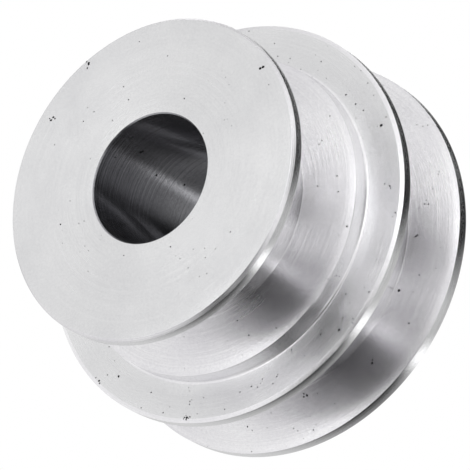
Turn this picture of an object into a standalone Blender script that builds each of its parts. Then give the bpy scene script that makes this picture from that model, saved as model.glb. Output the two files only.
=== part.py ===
"""Two-step V-belt pulley in turned aluminium, with a plain bore and two socket set screws.

Units are metres. The pulley's axis is +Z. It stands on the large step's end face, with the
origin in the middle of that face and the small step on top. The set screws lie along +X and +Y.
"""

import math

import bmesh
import bpy

MM = 0.001

# Driving dimensions, in millimetres. A rim is the plain ring outside a groove.
WIDTH = 38.0
BORE_RADIUS = 10.0
BORE_EDGE_BREAK = 0.2
WALL_ANGLE = math.radians(17.0)

SMALL_RADIUS = 25.0
SMALL_RIM = 1.5
SMALL_GROOVE_WIDTH = 14.7
SMALL_GROOVE_DEPTH = 7.7
TOP_CHAMFER_RADIAL = 0.4
TOP_CHAMFER_AXIAL = 0.5

LARGE_RADIUS = 31.3
LARGE_GROOVE_WIDTH = 14.05
LARGE_GROOVE_DEPTH = 7.5
SHOULDER_HEIGHT = 18.45
SHOULDER_FILLET = 0.5
STEP_CHAMFER_RADIAL = 0.6
STEP_CHAMFER_AXIAL = 0.3
MIDDLE_RIM = 1.7
BOTTOM_CHAMFER = 0.6

SCREW_RADIUS = 2.7
SCREW_LENGTH = 12.0
SCREW_TIP_AT = 10.6
SCREW_END_CHAMFER = 0.4
SCREW_CUP_RADIUS = 1.5
SCREW_CUP_DEPTH = 0.6
SCREW_TIP_TAPER = 1.2
SOCKET_SIDES = 6
SOCKET_ACROSS_FLATS = 3.0
SOCKET_DEPTH = 3.5
HOLE_RADIUS = 3.0
HOLE_COUNTERSINK = 0.4
CUTTER_OVERRUN = 2.0

BODY_SEGMENTS = 72
SCREW_SEGMENTS = 32
FILLET_SEGMENTS = 4
MERGE_DISTANCE = 0.00001
SHARP_ANGLE = math.radians(25.0)

# Heights that follow from the driving dimensions, in millimetres above the large end face.
SMALL_RIM_TOP = WIDTH - TOP_CHAMFER_AXIAL
SMALL_GROOVE_TOP = SMALL_RIM_TOP - SMALL_RIM
SMALL_GROOVE_BOTTOM = SMALL_GROOVE_TOP - SMALL_GROOVE_WIDTH
STEP_RIM_TOP = SHOULDER_HEIGHT - STEP_CHAMFER_AXIAL
LARGE_GROOVE_TOP = STEP_RIM_TOP - MIDDLE_RIM
LARGE_GROOVE_BOTTOM = LARGE_GROOVE_TOP - LARGE_GROOVE_WIDTH
LARGE_FLOOR_RADIUS = LARGE_RADIUS - LARGE_GROOVE_DEPTH
SCREW_HEIGHT = (LARGE_GROOVE_TOP + LARGE_GROOVE_BOTTOM) / 2

# Screw name and the direction, about +Z from +X, in which its socket faces.
SET_SCREWS = (
    ("set_screw_1", 0.0),
    ("set_screw_2", math.radians(90.0)),
)


def clear_scene():
    """Remove every object of the file that the script starts in."""
    for item in list(bpy.data.objects):
        bpy.data.objects.remove(item, do_unlink=True)


def metal(name, colour, roughness):
    """Make a plain metal material."""
    material = bpy.data.materials.new(name)
    material.use_nodes = True
    shader = material.node_tree.nodes["Principled BSDF"]
    shader.inputs["Base Color"].default_value = (*colour, 1.0)
    shader.inputs["Metallic"].default_value = 1.0
    shader.inputs["Roughness"].default_value = roughness
    return material


def turned_object(name, outline, closed, segments):
    """Turn an outline of (radius, height) points in millimetres about the object's Z axis."""
    mesh = bpy.data.meshes.new(name)
    points = [(radius * MM, 0.0, height * MM) for radius, height in outline]
    edges = [(index, index + 1) for index in range(len(points) - 1)]
    if closed:
        edges.append((len(points) - 1, 0))
    mesh.from_pydata(points, edges, [])
    item = bpy.data.objects.new(name, mesh)
    bpy.context.collection.objects.link(item)

    turn = item.modifiers.new("turn", "SCREW")
    turn.axis = "Z"
    turn.steps = segments
    turn.render_steps = segments
    turn.use_merge_vertices = True
    turn.merge_threshold = MERGE_DISTANCE
    turn.use_smooth_shade = True

    weld = item.modifiers.new("close the ends", "WELD")
    weld.merge_threshold = MERGE_DISTANCE
    return item


def cut(item, cutter):
    """Cut one object with another, which becomes a hidden guide."""
    cutter.hide_render = True
    cutter.display_type = "WIRE"
    step = item.modifiers.new(cutter.name, "BOOLEAN")
    step.operation = "DIFFERENCE"
    step.solver = "EXACT"
    step.object = cutter


def finish(item, cutters, material):
    """Make the modifiers' result the object's own mesh, drop the cutters and shade it."""
    bpy.context.view_layer.update()
    evaluated = item.evaluated_get(bpy.context.evaluated_depsgraph_get())
    item.data = bpy.data.meshes.new_from_object(evaluated)
    item.data.name = item.name
    item.modifiers.clear()
    for cutter in cutters:
        bpy.data.objects.remove(cutter, do_unlink=True)
    item.data.materials.append(material)
    item.data.shade_smooth()
    item.data.set_sharp_from_angle(angle=SHARP_ANGLE)


def groove(rim_radius, top, bottom, depth):
    """Give the four corners of a V-groove, from its top rim edge to its bottom rim edge."""
    run = depth * math.tan(WALL_ANGLE)
    floor_radius = rim_radius - depth
    return [
        (rim_radius, top),
        (floor_radius, top - run),
        (floor_radius, bottom + run),
        (rim_radius, bottom),
    ]


def shoulder_fillet():
    """Give the hollow round between the land and the shoulder's flat face."""
    centre_radius = SMALL_RADIUS + SHOULDER_FILLET
    centre_height = SHOULDER_HEIGHT + SHOULDER_FILLET
    points = []
    for index in range(FILLET_SEGMENTS + 1):
        angle = math.pi + index / FILLET_SEGMENTS * math.pi / 2
        points.append((
            centre_radius + SHOULDER_FILLET * math.cos(angle),
            centre_height + SHOULDER_FILLET * math.sin(angle),
        ))
    return points


def pulley_outline():
    """Give the turned section, down the outside from the small end face and up the bore."""
    return [
        (SMALL_RADIUS - TOP_CHAMFER_RADIAL, WIDTH),
        (SMALL_RADIUS, SMALL_RIM_TOP),
        *groove(SMALL_RADIUS, SMALL_GROOVE_TOP, SMALL_GROOVE_BOTTOM, SMALL_GROOVE_DEPTH),
        *shoulder_fillet(),
        (LARGE_RADIUS - STEP_CHAMFER_RADIAL, SHOULDER_HEIGHT),
        (LARGE_RADIUS, STEP_RIM_TOP),
        *groove(LARGE_RADIUS, LARGE_GROOVE_TOP, LARGE_GROOVE_BOTTOM, LARGE_GROOVE_DEPTH),
        (LARGE_RADIUS, BOTTOM_CHAMFER),
        (LARGE_RADIUS - BOTTOM_CHAMFER, 0.0),
        (BORE_RADIUS + BORE_EDGE_BREAK, 0.0),
        (BORE_RADIUS, BORE_EDGE_BREAK),
        (BORE_RADIUS, WIDTH - BORE_EDGE_BREAK),
        (BORE_RADIUS + BORE_EDGE_BREAK, WIDTH),
    ]


def point_outward(item, heading, radius):
    """Put an object's origin at a radius on a screw's axis, with its local +Z facing outward."""
    item.location = (
        radius * MM * math.cos(heading),
        radius * MM * math.sin(heading),
        SCREW_HEIGHT * MM,
    )
    item.rotation_euler = (0.0, math.pi / 2, heading)


def screw_hole_cutter(name, heading):
    """Make the cutter of a cross hole, from inside the bore to outside the groove's floor."""
    start = BORE_RADIUS - CUTTER_OVERRUN
    countersink_start = LARGE_FLOOR_RADIUS - HOLE_COUNTERSINK
    end = LARGE_FLOOR_RADIUS + CUTTER_OVERRUN
    outline = [
        (0.0, end),
        (HOLE_RADIUS + end - countersink_start, end),
        (HOLE_RADIUS, countersink_start),
        (HOLE_RADIUS, start),
        (0.0, start),
    ]
    cutter = turned_object(name, outline, False, SCREW_SEGMENTS)
    point_outward(cutter, heading, 0.0)
    return cutter


def make_pulley_body(material):
    """Make the one-piece turned pulley with its two cross holes."""
    body = turned_object("pulley_body", pulley_outline(), True, BODY_SEGMENTS)
    cutters = [screw_hole_cutter(f"{name}_hole_cutter", heading) for name, heading in SET_SCREWS]
    for cutter in cutters:
        cut(body, cutter)
    finish(body, cutters, material)


def socket_cutter(name):
    """Make the hexagonal prism that cuts a screw's socket, open past the screw's end."""
    mesh = bpy.data.meshes.new(name)
    builder = bmesh.new()
    height = SOCKET_DEPTH + CUTTER_OVERRUN
    corner_radius = SOCKET_ACROSS_FLATS / 2 / math.cos(math.pi / SOCKET_SIDES)
    bmesh.ops.create_cone(
        builder,
        cap_ends=True,
        segments=SOCKET_SIDES,
        radius1=corner_radius * MM,
        radius2=corner_radius * MM,
        depth=height * MM,
    )
    builder.to_mesh(mesh)
    builder.free()
    cutter = bpy.data.objects.new(name, mesh)
    bpy.context.collection.objects.link(cutter)
    cutter.location.z = (SCREW_LENGTH / 2 - SOCKET_DEPTH + height / 2) * MM
    return cutter


def screw_outline():
    """Give the set screw's section, from its socket end down to its cup point."""
    end = SCREW_LENGTH / 2
    return [
        (0.0, end),
        (SCREW_RADIUS - SCREW_END_CHAMFER, end),
        (SCREW_RADIUS, end - SCREW_END_CHAMFER),
        (SCREW_RADIUS, SCREW_TIP_TAPER - end),
        (SCREW_CUP_RADIUS, -end),
        (0.0, SCREW_CUP_DEPTH - end),
    ]


def make_set_screw(name, heading, material):
    """Make one socket set screw, a little short of the bore, with its origin on its own axis."""
    screw = turned_object(name, screw_outline(), False, SCREW_SEGMENTS)
    cutter = socket_cutter(f"{name}_socket_cutter")
    cut(screw, cutter)
    finish(screw, [cutter], material)
    point_outward(screw, heading, SCREW_TIP_AT + SCREW_LENGTH / 2)


def main():
    """Build the pulley and its set screws."""
    clear_scene()
    aluminium = metal("turned_aluminium", (0.80, 0.80, 0.81), 0.28)
    steel = metal("black_steel", (0.05, 0.05, 0.055), 0.45)
    make_pulley_body(aluminium)
    for name, heading in SET_SCREWS:
        make_set_screw(name, heading, steel)


main()
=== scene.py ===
import math
import random

import bmesh
import bpy
from mathutils import Matrix, Vector


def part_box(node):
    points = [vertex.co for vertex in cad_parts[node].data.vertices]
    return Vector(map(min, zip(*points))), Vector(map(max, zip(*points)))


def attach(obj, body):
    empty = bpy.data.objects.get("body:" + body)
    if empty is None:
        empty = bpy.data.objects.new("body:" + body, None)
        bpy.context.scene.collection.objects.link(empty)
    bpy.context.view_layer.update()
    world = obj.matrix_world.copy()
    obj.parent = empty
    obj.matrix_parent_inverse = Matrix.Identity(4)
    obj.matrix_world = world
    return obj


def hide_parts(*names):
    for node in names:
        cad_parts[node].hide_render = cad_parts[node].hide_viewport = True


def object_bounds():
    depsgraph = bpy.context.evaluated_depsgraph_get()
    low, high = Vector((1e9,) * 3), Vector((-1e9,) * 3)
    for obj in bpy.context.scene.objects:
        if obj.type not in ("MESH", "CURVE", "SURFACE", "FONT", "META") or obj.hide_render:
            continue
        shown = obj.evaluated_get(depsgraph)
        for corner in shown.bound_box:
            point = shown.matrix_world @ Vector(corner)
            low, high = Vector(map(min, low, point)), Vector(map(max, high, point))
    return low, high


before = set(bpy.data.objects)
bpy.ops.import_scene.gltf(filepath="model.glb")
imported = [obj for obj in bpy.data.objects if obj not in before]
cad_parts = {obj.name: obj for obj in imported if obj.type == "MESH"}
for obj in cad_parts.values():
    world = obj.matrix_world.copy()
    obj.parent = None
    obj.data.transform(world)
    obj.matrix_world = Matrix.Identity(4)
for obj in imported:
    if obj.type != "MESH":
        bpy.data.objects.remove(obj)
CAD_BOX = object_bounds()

MM = 0.001

# The turned section, in millimetres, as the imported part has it. Heights are above the large end.
# A groove is its top, its bottom and its depth. An edge break is its radial and its axial size.
WIDTH = (CAD_BOX[1][2] - CAD_BOX[0][2]) / MM
LARGE_RADIUS = (CAD_BOX[1][0] - CAD_BOX[0][0]) / 2 / MM
SMALL_RADIUS = 25.0
BORE_RADIUS = 10.0
WALL_ANGLE = math.radians(17.0)
SMALL_GROOVE = (36.0, 21.3, 7.7)
LARGE_GROOVE = (16.45, 2.4, 7.5)
SHOULDER_HEIGHT = 18.45
SHOULDER_FILLET = 0.5
SMALL_EDGE_BREAK = (0.4, 0.5)
STEP_EDGE_BREAK = (0.6, 0.3)
LARGE_EDGE_BREAK = (0.6, 0.6)
BORE_EDGE_BREAK = 0.2

# How far the section's corners are rounded, in millimetres, and how finely it is divided.
FLOOR_CORNER = 0.12
TURNED_EDGE = 0.08
RIM_EDGE = 0.12
BORE_EDGE = 0.03
ARC_STEPS = 4
SPAN_LENGTH = 1.6
BODY_SEGMENTS = 360

# The set screws and their holes, in millimetres. The hole's crests clear the screw's, so the screw
# can slide straight along it.
SCREW_HEIGHT = 9.425
SCREW_MAJOR = 2.7
SCREW_MINOR = 2.3
THREAD_PITCH = 1.0
THREAD_SEGMENTS = 48
STEPS_PER_TURN = 10
SOCKET_ACROSS_FLATS = 3.0
SOCKET_DEPTH = 3.5
HOLE_MINOR = 2.78
HOLE_MAJOR = 3.05
HOLE_START = 8.0
SCREW_END_RADIUS = 1.6
UNCHAMFERED = 9.0
CUTTER_OVERRUN = 1.0

# The camera. Tilt and roll in degrees, lens and sensor in millimetres, and its place in metres from
# the middle of the small rim: to its own right, down, and back from there.
CAMERA_TILT = 39.71
CAMERA_ROLL = 59.62
CAMERA_LENS = 323.15
CAMERA_SENSOR = 36.0
CAMERA_RIGHT = 0.012156
CAMERA_DOWN = 0.008163
CAMERA_BACK = 0.61387
NEAREST_SEEN = 0.05
FARTHEST_SEEN = 20.0

# The floor's reach to each side and its depth below the part, in metres.
FLOOR_REACH = 3.0
FLOOR_DEPTH = 0.0002

# The studio all round the part. Azimuths run from the camera's side toward its right. Its glow goes
# from low to high across a band round the horizon, which is given as the sine of its half-height.
NEAR_SIDE = Vector((-1.0, -1.0, 0.0)).normalized()
LEVEL_RIGHT = Vector((1.0, -1.0, 0.0)).normalized()
STUDIO_HIGH = 1.15
STUDIO_LOW = 0.8
HORIZON_BAND = 0.25

# The studio's soft lights and black flags. Name, azimuth, elevation, half-width and
# half-height in degrees, and strength: negative for a flag.
SOFT_PATCHES = (
    ("big black flag on the left", -30, 50, 20, 30, -2.0),
    ("low black flag on the left", -45, -20, 35, 35, -1.5),
    ("gap in the big flag", -30, 35, 10, 15, 1.0),
    ("black flag along the right horizon", 45, -5, 15, 20, -2.0),
    ("black flag below on the right", 100, -40, 60, 25, -1.5),
    ("strip light high on the right", 70, 60, 15, 5, 2.0),
    ("strip light low in front", 30, -30, 30, 5, 2.5),
    ("strip light low on the right", 110, -30, 60, 5, 4.0),
    ("upright strip light in front", -10, -15, 5, 20, 2.0),
    ("lamp below in front", -10, -55, 5, 10, 1.25),
    ("lamp overhead", -110, 80, 5, 15, 3.0),
    ("dim wall behind", 180, 45, 50, 25, -0.4),
)

# Where casting pores and nicks gather. By surface: heading in degrees, radius (in the
# bore, height) in millimetres, how many, and the size of the largest in millimetres.
PORE_CLUSTERS = {
    "small end": ((295, 23.5, 3, 0.3), (45, 22.5, 4, 0.25), (20, 24.0, 4, 0.3), (30, 16.5, 1, 0.15)),
    "shoulder": (
        (280, 29.0, 1, 0.25), (260, 29.0, 3, 0.15), (215, 29.5, 1, 0.25), (210, 27.5, 2, 0.15),
        (130, 28.0, 1, 0.2), (125, 30.5, 2, 0.2), (160, 28.0, 3, 0.15), (160, 30.5, 5, 0.2),
    ),
    "small groove": ((290, 23.5, 1, 0.15), (245, 24.5, 1, 0.15), (280, 20.5, 2, 0.15)),
    "large groove": ((255, 25.0, 1, 0.2), (235, 24.5, 1, 0.25), (210, 27.0, 2, 0.2), (185, 25.0, 3, 0.2)),
    "bore": ((25, 35.5, 5, 0.2), (30, 31.5, 2, 0.3), (40, 25.5, 1, 0.2), (35, 19.0, 1, 0.2)),
}

# How far a cluster's pores lie from its middle, and how far the lumps that cut them are stretched
# and made uneven, as a share of their size.
CLUSTER_SPREAD = 0.6
LUMP_STRETCH = (0.8, 1.2)
LUMP_UNEVENNESS = 0.2
PORE_SEED = 7

# How many small pores are strewn at random on each surface, and between which radii (or heights).
STREWN_PORES = {
    "small end": (20, 12.0, 24.4),
    "shoulder": (80, 25.8, 30.6),
    "small groove": (24, 18.5, 24.5),
    "large groove": (70, 25.0, 31.0),
    "bore": (24, 1.0, 37.0),
    "large end": (40, 12.0, 30.0),
}
STREWN_SIZE = (0.08, 0.15)

# Material slots. The bore's slot holds a colour darkened as painted shade.
FACE_FINISH, GROOVE_FINISH_AND_SHADE, RIM_FINISH, BORE_PAINTED_SHADE, PORE_FINISH = range(5)
BODY_SHARP_ANGLE = 30.0
SCREW_SHARP_ANGLE = 35.0


def vector_math(tree, operation, first, second=None):
    """Add a vector math node and give its useful output."""
    node = tree.nodes.new("ShaderNodeVectorMath")
    node.operation = operation
    for socket, value in zip(node.inputs, (first, second)):
        if value is None:
            continue
        if isinstance(value, bpy.types.NodeSocket):
            tree.links.new(value, socket)
        else:
            socket.default_value = value
    return node.outputs["Value" if operation in ("LENGTH", "DOT_PRODUCT") else "Vector"]


def math_node(tree, operation, *values):
    """Add a math node and give its output."""
    node = tree.nodes.new("ShaderNodeMath")
    node.operation = operation
    for socket, value in zip(node.inputs, values):
        if isinstance(value, bpy.types.NodeSocket):
            tree.links.new(value, socket)
        else:
            socket.default_value = value
    return node.outputs["Value"]


def ramp(tree, value, low, high, to_low, to_high, smooth=True):
    """Map a value from one range to another, with clamped ends."""
    node = tree.nodes.new("ShaderNodeMapRange")
    node.interpolation_type = "SMOOTHSTEP" if smooth else "LINEAR"
    tree.links.new(value, node.inputs["Value"])
    node.inputs["From Min"].default_value = low
    node.inputs["From Max"].default_value = high
    node.inputs["To Min"].default_value = to_low
    node.inputs["To Max"].default_value = to_high
    return node.outputs["Result"]


def noise(tree, vector, scale, detail=2.0, roughness=0.5):
    """Add a noise texture and give its value."""
    node = tree.nodes.new("ShaderNodeTexNoise")
    tree.links.new(vector, node.inputs["Vector"])
    node.inputs["Scale"].default_value = scale
    node.inputs["Detail"].default_value = detail
    node.inputs["Roughness"].default_value = roughness
    return node.outputs["Fac"]


def lathe_coordinates(tree):
    """Give the object position, and (radius, height, 0), which is constant round each tool mark."""
    position = tree.nodes.new("ShaderNodeTexCoord").outputs["Object"]
    split = tree.nodes.new("ShaderNodeSeparateXYZ")
    tree.links.new(position, split.inputs[0])
    flat = vector_math(tree, "MULTIPLY", position, (1.0, 1.0, 0.0))
    radius = vector_math(tree, "LENGTH", flat)
    join = tree.nodes.new("ShaderNodeCombineXYZ")
    tree.links.new(radius, join.inputs["X"])
    tree.links.new(split.outputs["Z"], join.inputs["Y"])
    return position, join.outputs[0]


def colour_mix(tree, factor, first, second):
    """Blend two colours by a factor."""
    node = tree.nodes.new("ShaderNodeMix")
    node.data_type = "RGBA"
    tree.links.new(factor, node.inputs["Factor"])
    node.inputs["A"].default_value = (*first, 1.0)
    node.inputs["B"].default_value = (*second, 1.0)
    return node.outputs["Result"]


def bump(tree, height, distance, strength, below=None):
    """Add a bump node, on top of another one if given, and give its normal."""
    node = tree.nodes.new("ShaderNodeBump")
    tree.links.new(height, node.inputs["Height"])
    node.inputs["Distance"].default_value = distance
    node.inputs["Strength"].default_value = strength
    if below is not None:
        tree.links.new(below, node.inputs["Normal"])
    return node.outputs["Normal"]


def new_material(name, metallic):
    """Make a material with one Principled shader."""
    material = bpy.data.materials.new(name)
    material.use_nodes = True
    shader = material.node_tree.nodes["Principled BSDF"]
    shader.inputs["Metallic"].default_value = metallic
    return material, material.node_tree, shader


def turned_metal(name, dark, light, roughness, anisotropy, lay):
    """Bare turned aluminium: concentric tool marks, faint stains and pin-prick pores."""
    material, tree, shader = new_material(name, 1.0)
    position, lathe = lathe_coordinates(tree)
    fine = noise(tree, lathe, 6500.0, 2.0, 0.6)
    coarse = noise(tree, lathe, 3200.0, 3.0, 0.7)
    stain = noise(tree, position, 60.0, 3.0, 0.55)
    grain = noise(tree, position, 2600.0, 2.0, 0.6)
    patchy = ramp(tree, noise(tree, position, 130.0, 2.0), 0.40, 0.60, 0.25, 1.0)
    marks = math_node(tree, "MULTIPLY", math_node(tree, "SUBTRACT", coarse, 0.5), patchy)
    tone = math_node(tree, "ADD", math_node(tree, "MULTIPLY", marks, lay), stain)
    tone = math_node(tree, "ADD", tone, math_node(tree, "MULTIPLY", grain, 0.5))
    colour = ramp(tree, tone, 0.45, 1.05, 0.0, 1.0, smooth=False)
    colour = colour_mix(tree, colour, dark, light)
    colour = specks(tree, position, colour)
    tree.links.new(colour, shader.inputs["Base Color"])
    rough = ramp(tree, math_node(tree, "ADD", marks, stain), 0.2, 0.8, roughness - 0.03, roughness + 0.03)
    tree.links.new(rough, shader.inputs["Roughness"])
    shader.inputs["Anisotropic"].default_value = anisotropy
    shader.inputs["Anisotropic Rotation"].default_value = 0.25
    tangent = tree.nodes.new("ShaderNodeTangent")
    tangent.direction_type = "RADIAL"
    tangent.axis = "Z"
    tree.links.new(tangent.outputs[0], shader.inputs["Tangent"])
    normal = bump(tree, marks, 0.00003, 0.5)
    normal = bump(tree, fine, 0.000015, 0.5, normal)
    normal = bump(tree, grain, 0.000015, 0.4, normal)
    tree.links.new(normal, shader.inputs["Normal"])
    return material


def specks(tree, position, colour):
    """Darken a colour at pin-prick pores, which gather in some places and are rare in others."""
    cells = tree.nodes.new("ShaderNodeTexVoronoi")
    tree.links.new(position, cells.inputs["Vector"])
    cells.inputs["Scale"].default_value = 1500.0
    crowd = ramp(tree, noise(tree, position, 90.0, 3.0), 0.48, 0.72, 0.03, 0.22)
    reach = math_node(tree, "SUBTRACT", crowd, cells.outputs["Distance"])
    pick = tree.nodes.new("ShaderNodeSeparateColor")
    tree.links.new(cells.outputs["Color"], pick.inputs[0])
    chosen = math_node(tree, "LESS_THAN", pick.outputs[0], 0.3)
    mask = math_node(tree, "MULTIPLY", ramp(tree, reach, 0.0, 0.06, 0.0, 0.75), chosen)
    node = tree.nodes.new("ShaderNodeMix")
    node.data_type = "RGBA"
    tree.links.new(mask, node.inputs["Factor"])
    tree.links.new(colour, node.inputs["A"])
    node.inputs["B"].default_value = (0.12, 0.12, 0.125, 1.0)
    return node.outputs["Result"]


def pore_metal():
    """The dark, rough inside of a casting pore."""
    material, tree, shader = new_material("casting_pore", 1.0)
    position = tree.nodes.new("ShaderNodeTexCoord").outputs["Object"]
    grain = noise(tree, position, 9000.0, 3.0)
    colour = colour_mix(tree, grain, (0.02, 0.02, 0.022), (0.14, 0.14, 0.145))
    tree.links.new(colour, shader.inputs["Base Color"])
    shader.inputs["Roughness"].default_value = 0.6
    tree.links.new(bump(tree, grain, 0.00004, 1.0), shader.inputs["Normal"])
    return material


def black_steel():
    """Black oxide on steel, with a slightly rubbed, speckled finish."""
    material, tree, shader = new_material("black_oxide_steel", 1.0)
    position = tree.nodes.new("ShaderNodeTexCoord").outputs["Object"]
    speckle = noise(tree, position, 1800.0, 4.0, 0.6)
    wear = ramp(tree, noise(tree, position, 500.0, 3.0), 0.5, 0.7, 0.0, 1.0)
    colour = colour_mix(tree, wear, (0.035, 0.036, 0.04), (0.11, 0.11, 0.115))
    tree.links.new(colour, shader.inputs["Base Color"])
    tree.links.new(ramp(tree, speckle, 0.3, 0.7, 0.32, 0.5), shader.inputs["Roughness"])
    tree.links.new(bump(tree, speckle, 0.00002, 0.4), shader.inputs["Normal"])
    return material


def rounded_section(corners, arc_steps, span_length):
    """Round each corner (radius, height, corner radius) of a closed section and divide long spans."""
    points = []
    count = len(corners)
    for index, (x, z, size) in enumerate(corners):
        here = Vector((x, z))
        before = Vector(corners[index - 1][:2]) - here
        after = Vector(corners[(index + 1) % count][:2]) - here
        half = before.angle(after) / 2
        reach = size / math.tan(half)
        centre = here + (before.normalized() + after.normalized()).normalized() * size / math.sin(half)
        start = here + before.normalized() * reach - centre
        end = here + after.normalized() * reach - centre
        for step in range(arc_steps + 1):
            arm = start.slerp(end, step / arc_steps)
            points.append(centre + arm.normalized() * size)
    section = []
    for index, point in enumerate(points):
        following = points[(index + 1) % len(points)]
        pieces = max(1, round((following - point).length / span_length))
        section.extend(point.lerp(following, step / pieces) for step in range(pieces))
    return section


def groove_corners(rim_radius, groove):
    """Give a V-groove's four corners, from its top rim edge to its bottom rim edge."""
    top, bottom, depth = groove
    run = depth * math.tan(WALL_ANGLE)
    return [
        (rim_radius, top, RIM_EDGE),
        (rim_radius - depth, top - run, FLOOR_CORNER),
        (rim_radius - depth, bottom + run, FLOOR_CORNER),
        (rim_radius, bottom, RIM_EDGE),
    ]


def body_section():
    """Give the pulley's section, down the outside from the small end face and up the bore."""
    corners = [
        (SMALL_RADIUS - SMALL_EDGE_BREAK[0], WIDTH, TURNED_EDGE),
        (SMALL_RADIUS, WIDTH - SMALL_EDGE_BREAK[1], TURNED_EDGE),
        *groove_corners(SMALL_RADIUS, SMALL_GROOVE),
        (SMALL_RADIUS, SHOULDER_HEIGHT, SHOULDER_FILLET),
        (LARGE_RADIUS - STEP_EDGE_BREAK[0], SHOULDER_HEIGHT, TURNED_EDGE),
        (LARGE_RADIUS, SHOULDER_HEIGHT - STEP_EDGE_BREAK[1], TURNED_EDGE),
        *groove_corners(LARGE_RADIUS, LARGE_GROOVE),
        (LARGE_RADIUS, LARGE_EDGE_BREAK[1], TURNED_EDGE),
        (LARGE_RADIUS - LARGE_EDGE_BREAK[0], 0.0, TURNED_EDGE),
        (BORE_RADIUS + BORE_EDGE_BREAK, 0.0, BORE_EDGE),
        (BORE_RADIUS, BORE_EDGE_BREAK, BORE_EDGE),
        (BORE_RADIUS, WIDTH - BORE_EDGE_BREAK, BORE_EDGE),
        (BORE_RADIUS + BORE_EDGE_BREAK, WIDTH, BORE_EDGE),
    ]
    return rounded_section(corners, ARC_STEPS, SPAN_LENGTH)


def mesh_object(name, vertices, faces):
    """Make an object from points in metres and faces."""
    mesh = bpy.data.meshes.new(name)
    mesh.from_pydata(vertices, [], faces)
    mesh.validate()
    item = bpy.data.objects.new(name, mesh)
    bpy.context.scene.collection.objects.link(item)
    return item


def turned(name, section, segments):
    """Turn a closed section about Z."""
    vertices = []
    faces = []
    count = len(section)
    for turn in range(segments):
        angle = 2 * math.pi * turn / segments
        vertices.extend(
            (point[0] * MM * math.cos(angle), point[0] * MM * math.sin(angle), point[1] * MM)
            for point in section
        )
        following = (turn + 1) % segments
        for index in range(count):
            after = (index + 1) % count
            faces.append((
                turn * count + index,
                turn * count + after,
                following * count + after,
                following * count + index,
            ))
    return mesh_object(name, vertices, faces)


def threaded_rod(name, low, high, minor, major, end_radius):
    """Make a closed rod along Z with a helical thread, flat at root and crest, and chamfered ends."""
    rings = max(2, round((high - low) / THREAD_PITCH * STEPS_PER_TURN))
    vertices = []
    faces = []
    for ring in range(rings + 1):
        height = low + (high - low) * ring / rings
        chamfer = end_radius + min(height - low, high - height)
        for turn in range(THREAD_SEGMENTS):
            share = turn / THREAD_SEGMENTS
            phase = (height / THREAD_PITCH - share) % 1.0
            crest = min(1.0, max(0.0, 2.2 * abs(2 * phase - 1) - 0.5))
            radius = min(minor + (major - minor) * crest, chamfer)
            angle = 2 * math.pi * share
            vertices.append((radius * MM * math.cos(angle), radius * MM * math.sin(angle), height * MM))
    for ring in range(rings):
        for turn in range(THREAD_SEGMENTS):
            after = (turn + 1) % THREAD_SEGMENTS
            faces.append((
                ring * THREAD_SEGMENTS + turn,
                ring * THREAD_SEGMENTS + after,
                (ring + 1) * THREAD_SEGMENTS + after,
                (ring + 1) * THREAD_SEGMENTS + turn,
            ))
    faces.append(tuple(reversed(range(THREAD_SEGMENTS))))
    faces.append(tuple(rings * THREAD_SEGMENTS + turn for turn in range(THREAD_SEGMENTS)))
    return mesh_object(name, vertices, faces)


def cut(item, cutter, overlapping=False):
    """Cut one mesh with another, whose own shells may overlap, and drop the cutter."""
    step = item.modifiers.new("cut", "BOOLEAN")
    step.operation = "DIFFERENCE"
    step.solver = "EXACT"
    step.material_mode = "TRANSFER"
    step.use_self = overlapping
    step.object = cutter
    bpy.context.view_layer.update()
    evaluated = item.evaluated_get(bpy.context.evaluated_depsgraph_get())
    mesh = bpy.data.meshes.new_from_object(evaluated)
    item.modifiers.clear()
    item.data = mesh
    bpy.data.objects.remove(cutter, do_unlink=True)


def shade(item, degrees):
    """Shade smooth with crisp edges."""
    item.data.shade_smooth()
    item.data.set_sharp_from_angle(angle=math.radians(degrees))


def sharpen_pores(item):
    """Make the rim of each pore crisp, so that its shading doesn't spread over the smooth metal."""
    edges = {edge.key: edge for edge in item.data.edges}
    for face in item.data.polygons:
        if face.material_index == PORE_FINISH:
            for key in face.edge_keys:
                edges[key].use_edge_sharp = True


def outward(heading, radius):
    """Give the placement of a screw or its hole: local +Z outward along a heading about the axis."""
    place = Matrix.Translation((0.0, 0.0, SCREW_HEIGHT * MM))
    place @= Matrix.Rotation(heading, 4, "Z") @ Matrix.Rotation(math.pi / 2, 4, "Y")
    return place @ Matrix.Translation((0.0, 0.0, radius * MM))


def assign_finishes(body):
    """Give the grooves, the rims and the bore their own finishes, by where and how each face lies. The
    bore's dark colour is painted shade, and the grooves' darker tone is partly painted shade.
    """
    for face in body.data.polygons:
        radius = math.hypot(face.center.x, face.center.y) / MM
        height = face.center.z / MM
        upright = abs(face.normal.z) < 0.2
        on_small_rim = abs(radius - SMALL_RADIUS) < 0.05 and height > SMALL_GROOVE[0] - 0.1
        on_large_rim = abs(radius - LARGE_RADIUS) < 0.05
        if upright and (on_small_rim or on_large_rim):
            face.material_index = RIM_FINISH
        elif radius < BORE_RADIUS + 0.3 and 0.02 < height < WIDTH - 0.02:
            face.material_index = BORE_PAINTED_SHADE
        elif abs(face.normal.z) < 0.99 and face.material_index == FACE_FINISH:
            # The grooves' material is partly painted shade: its low end is darker and tinted purple.
            face.material_index = GROOVE_FINISH_AND_SHADE


def on_surface(surface, heading, reach):
    """Give a point on a named surface, in metres: the reach is a radius, or a height in the bore."""
    radius = BORE_RADIUS if surface == "bore" else reach
    height = {
        "small end": WIDTH,
        "shoulder": SHOULDER_HEIGHT,
        "large end": 0.0,
        "small groove": SMALL_GROOVE[1] + (SMALL_RADIUS - radius) * math.tan(WALL_ANGLE),
        "large groove": LARGE_GROOVE[1] + (LARGE_RADIUS - radius) * math.tan(WALL_ANGLE),
        "bore": reach,
    }[surface]
    angle = math.radians(heading)
    return Vector((radius * math.cos(angle), radius * math.sin(angle), height)) * MM


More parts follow.
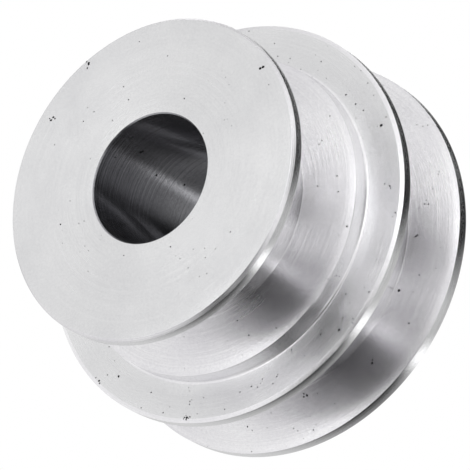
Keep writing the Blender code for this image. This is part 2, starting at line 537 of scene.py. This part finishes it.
def cluster_pores(chooser, surface, heading, reach, count, size):
    """Give a cluster's pores: the largest in the middle, and smaller ones scattered round it."""
    radius = BORE_RADIUS if surface == "bore" else reach
    pores = []
    for number in range(count):
        spread = CLUSTER_SPREAD if number else 0.0
        aside = math.degrees(chooser.uniform(-spread, spread) / radius)
        middle = on_surface(surface, heading + aside, reach + chooser.uniform(-spread, spread))
        pores.append((middle, size / (1.0 + 0.25 * number)))
    return pores


def all_pores(chooser):
    """Give each pore's middle and size: the clusters, then the ones strewn at random."""
    pores = []
    for surface, clusters in PORE_CLUSTERS.items():
        for cluster in clusters:
            pores.extend(cluster_pores(chooser, surface, *cluster))
    for surface, (count, nearest, farthest) in STREWN_PORES.items():
        for _ in range(count):
            reach = chooser.uniform(nearest, farthest)
            middle = on_surface(surface, chooser.uniform(0.0, 360.0), reach)
            pores.append((middle, chooser.uniform(*STREWN_SIZE)))
    return pores


def pore_cutter(material):
    """Make one mesh of small uneven lumps, which cuts all the casting pores and nicks."""
    chooser = random.Random(PORE_SEED)
    builder = bmesh.new()
    for middle, size in all_pores(chooser):
        stretch = Matrix.Diagonal([size * MM * chooser.uniform(*LUMP_STRETCH) for _ in range(3)] + [1.0])
        place = Matrix.Translation(middle) @ stretch
        made = bmesh.ops.create_icosphere(builder, subdivisions=1, radius=1.0, matrix=place)
        for vertex in made["verts"]:
            shift = [chooser.uniform(-LUMP_UNEVENNESS, LUMP_UNEVENNESS) for _ in range(3)]
            vertex.co += Vector([share * size * MM for share in shift])
    mesh = bpy.data.meshes.new("pore_cutter")
    builder.to_mesh(mesh)
    builder.free()
    mesh.materials.append(material)
    cutter = bpy.data.objects.new("pore_cutter", mesh)
    bpy.context.scene.collection.objects.link(cutter)
    return cutter


def make_body(finishes):
    """Make the detailed pulley body with its threaded cross holes."""
    body = turned("turned_pulley_body", body_section(), BODY_SEGMENTS)
    for material in finishes:
        body.data.materials.append(material)
    floor_radius = LARGE_RADIUS - LARGE_GROOVE[2]
    for heading in (0.0, math.pi / 2):
        end = floor_radius + CUTTER_OVERRUN
        cutter = threaded_rod("hole_cutter", HOLE_START, end, HOLE_MINOR, HOLE_MAJOR, UNCHAMFERED)
        # The threaded holes take the bore's darkened colour, which is painted shade.
        cutter.data.materials.append(finishes[BORE_PAINTED_SHADE])
        cutter.data.transform(outward(heading, 0.0))
        cut(body, cutter)
    assign_finishes(body)
    cut(body, pore_cutter(finishes[PORE_FINISH]), overlapping=True)
    shade(body, BODY_SHARP_ANGLE)
    sharpen_pores(body)
    return body


def make_screw(name, node, heading, material):
    """Make a threaded set screw with a hexagon socket, where the CAD screw is."""
    low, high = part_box(node)
    axis = 0 if heading == 0.0 else 1
    tip = low[axis] / MM
    end = high[axis] / MM
    screw = threaded_rod(name, tip, end, SCREW_MINOR, SCREW_MAJOR, SCREW_END_RADIUS)
    screw.data.materials.append(material)
    corner = SOCKET_ACROSS_FLATS / 2 / math.cos(math.pi / 6)
    outline = [
        (corner * MM * math.cos(math.pi / 3 * side), corner * MM * math.sin(math.pi / 3 * side))
        for side in range(6)
    ]
    vertices = [(x, y, (end - SOCKET_DEPTH) * MM) for x, y in outline]
    vertices += [(x, y, (end + CUTTER_OVERRUN) * MM) for x, y in outline]
    faces = [(side, (side + 1) % 6, (side + 1) % 6 + 6, side + 6) for side in range(6)]
    faces += [tuple(reversed(range(6))), tuple(range(6, 12))]
    socket = mesh_object("socket_cutter", vertices, faces)
    socket.data.materials.append(material)
    cut(screw, socket)
    screw.data.transform(outward(heading, 0.0))
    shade(screw, SCREW_SHARP_ANGLE)
    return screw


def make_floor():
    """Make the plain pale floor that the pulley stands on."""
    corners = [(-1, -1), (1, -1), (1, 1), (-1, 1)]
    vertices = [(x * FLOOR_REACH, y * FLOOR_REACH, 0.0) for x, y in corners]
    item = mesh_object("floor", vertices, [(0, 1, 2, 3)])
    item.location.z = -FLOOR_DEPTH
    material = bpy.data.materials.new("pale_floor")
    material.use_nodes = True
    tree = material.node_tree
    tree.nodes.clear()
    glow = tree.nodes.new("ShaderNodeEmission")
    glow.inputs["Color"].default_value = (1.0, 1.0, 1.0, 1.0)
    output = tree.nodes.new("ShaderNodeOutputMaterial")
    tree.links.new(glow.outputs[0], output.inputs["Surface"])
    item.data.materials.append(material)
    item.visible_glossy = False
    item.visible_diffuse = False
    item.visible_shadow = False


def make_camera():
    """Look down at the small end from 50 degrees above, rolled so that the axis leans left."""
    tilt = math.radians(CAMERA_TILT)
    roll = math.radians(CAMERA_ROLL)
    forward = -(NEAR_SIDE * math.sin(tilt) + Vector((0, 0, 1)) * math.cos(tilt))
    level_down = forward.cross(LEVEL_RIGHT)
    right = LEVEL_RIGHT * math.cos(roll) + level_down * math.sin(roll)
    down = level_down * math.cos(roll) - LEVEL_RIGHT * math.sin(roll)
    rim_centre = Vector((0.0, 0.0, (WIDTH - SMALL_EDGE_BREAK[1]) * MM))
    place = rim_centre + right * CAMERA_RIGHT + down * CAMERA_DOWN - forward * CAMERA_BACK
    data = bpy.data.cameras.new("camera")
    data.sensor_width = CAMERA_SENSOR
    data.lens = CAMERA_LENS
    data.clip_start = NEAREST_SEEN
    data.clip_end = FARTHEST_SEEN
    camera = bpy.data.objects.new("camera", data)
    basis = Matrix((right, -down, -forward)).transposed().to_4x4()
    camera.matrix_world = Matrix.Translation(place) @ basis
    bpy.context.scene.collection.objects.link(camera)
    bpy.context.scene.camera = camera


def toward(azimuth, elevation):
    """Give a direction from its azimuth, measured from the camera's side to its right, and elevation."""
    flat = NEAR_SIDE * math.cos(math.radians(azimuth)) + LEVEL_RIGHT * math.sin(math.radians(azimuth))
    return flat * math.cos(math.radians(elevation)) + Vector((0, 0, 1)) * math.sin(math.radians(elevation))


def soft_patch(tree, sky, azimuth, elevation, width, height):
    """Give a soft-edged patch of the surroundings: 1 in its middle, falling smoothly to 0."""
    middle = toward(azimuth, elevation)
    across = toward(azimuth + 90.0, 0.0)
    upward = middle.cross(across)
    spread = 0.0
    for axis, size in ((across, width), (upward, height)):
        reach = vector_math(tree, "DOT_PRODUCT", sky, tuple(axis / math.sin(math.radians(size))))
        spread = math_node(tree, "ADD", spread, math_node(tree, "MULTIPLY", reach, reach))
    glow = math_node(tree, "POWER", 1 / math.e, spread)
    facing = vector_math(tree, "DOT_PRODUCT", sky, tuple(middle))
    return math_node(tree, "MULTIPLY", glow, math_node(tree, "GREATER_THAN", facing, 0.0))


def make_light():
    """Light the scene from all round with a pale studio, its soft lights and its black flags."""
    world = bpy.data.worlds.new("studio")
    bpy.context.scene.world = world
    world.use_nodes = True
    tree = world.node_tree
    sky = tree.nodes.new("ShaderNodeTexCoord").outputs["Generated"]
    split = tree.nodes.new("ShaderNodeSeparateXYZ")
    tree.links.new(sky, split.inputs[0])
    height = split.outputs["Z"]
    total = ramp(tree, height, -HORIZON_BAND, HORIZON_BAND, STUDIO_LOW, STUDIO_HIGH, smooth=False)
    for _, azimuth, elevation, width, height, strength in SOFT_PATCHES:
        patch = soft_patch(tree, sky, azimuth, elevation, width, height)
        total = math_node(tree, "ADD", total, math_node(tree, "MULTIPLY", patch, strength))
    total = math_node(tree, "MAXIMUM", total, 0.0)
    tree.links.new(total, tree.nodes["Background"].inputs["Strength"])
    tree.nodes["Background"].inputs["Color"].default_value = (1.0, 1.0, 1.0, 1.0)


bpy.context.scene.view_settings.view_transform = "Standard"
finishes = [
    turned_metal("turned_aluminium_faces", (0.81, 0.81, 0.825), (0.955, 0.955, 0.96), 0.25, 0.95, 0.5),
    # The grooves' darker, purple-tinted low end is partly painted shade in the grooves. Their tool marks
    # and random tone are real.
    turned_metal("turned_aluminium_grooves_painted_shade", (0.76, 0.75, 0.78), (0.96, 0.955, 0.965), 0.25, 0.95, 1.0),
    turned_metal("turned_aluminium_rims", (0.80, 0.80, 0.815), (0.96, 0.96, 0.965), 0.20, 0.8, 1.4),
    # The bore's colour is darkened to about half: painted shade in the bore and the cross holes. Its tool
    # marks are real.
    turned_metal("bored_aluminium_painted_shade", (0.20, 0.20, 0.215), (0.46, 0.46, 0.48), 0.20, 0.95, 2.2),
    pore_metal(),
]
steel = black_steel()
body = make_body(finishes)
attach(body, "pulley")
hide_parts("pulley_body")
for number, heading in ((1, 0.0), (2, math.pi / 2)):
    screw = make_screw(f"threaded_set_screw_{number}", f"set_screw_{number}", heading, steel)
    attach(screw, f"screw_{number}")
    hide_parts(f"set_screw_{number}")
make_floor()
make_camera()
make_light()
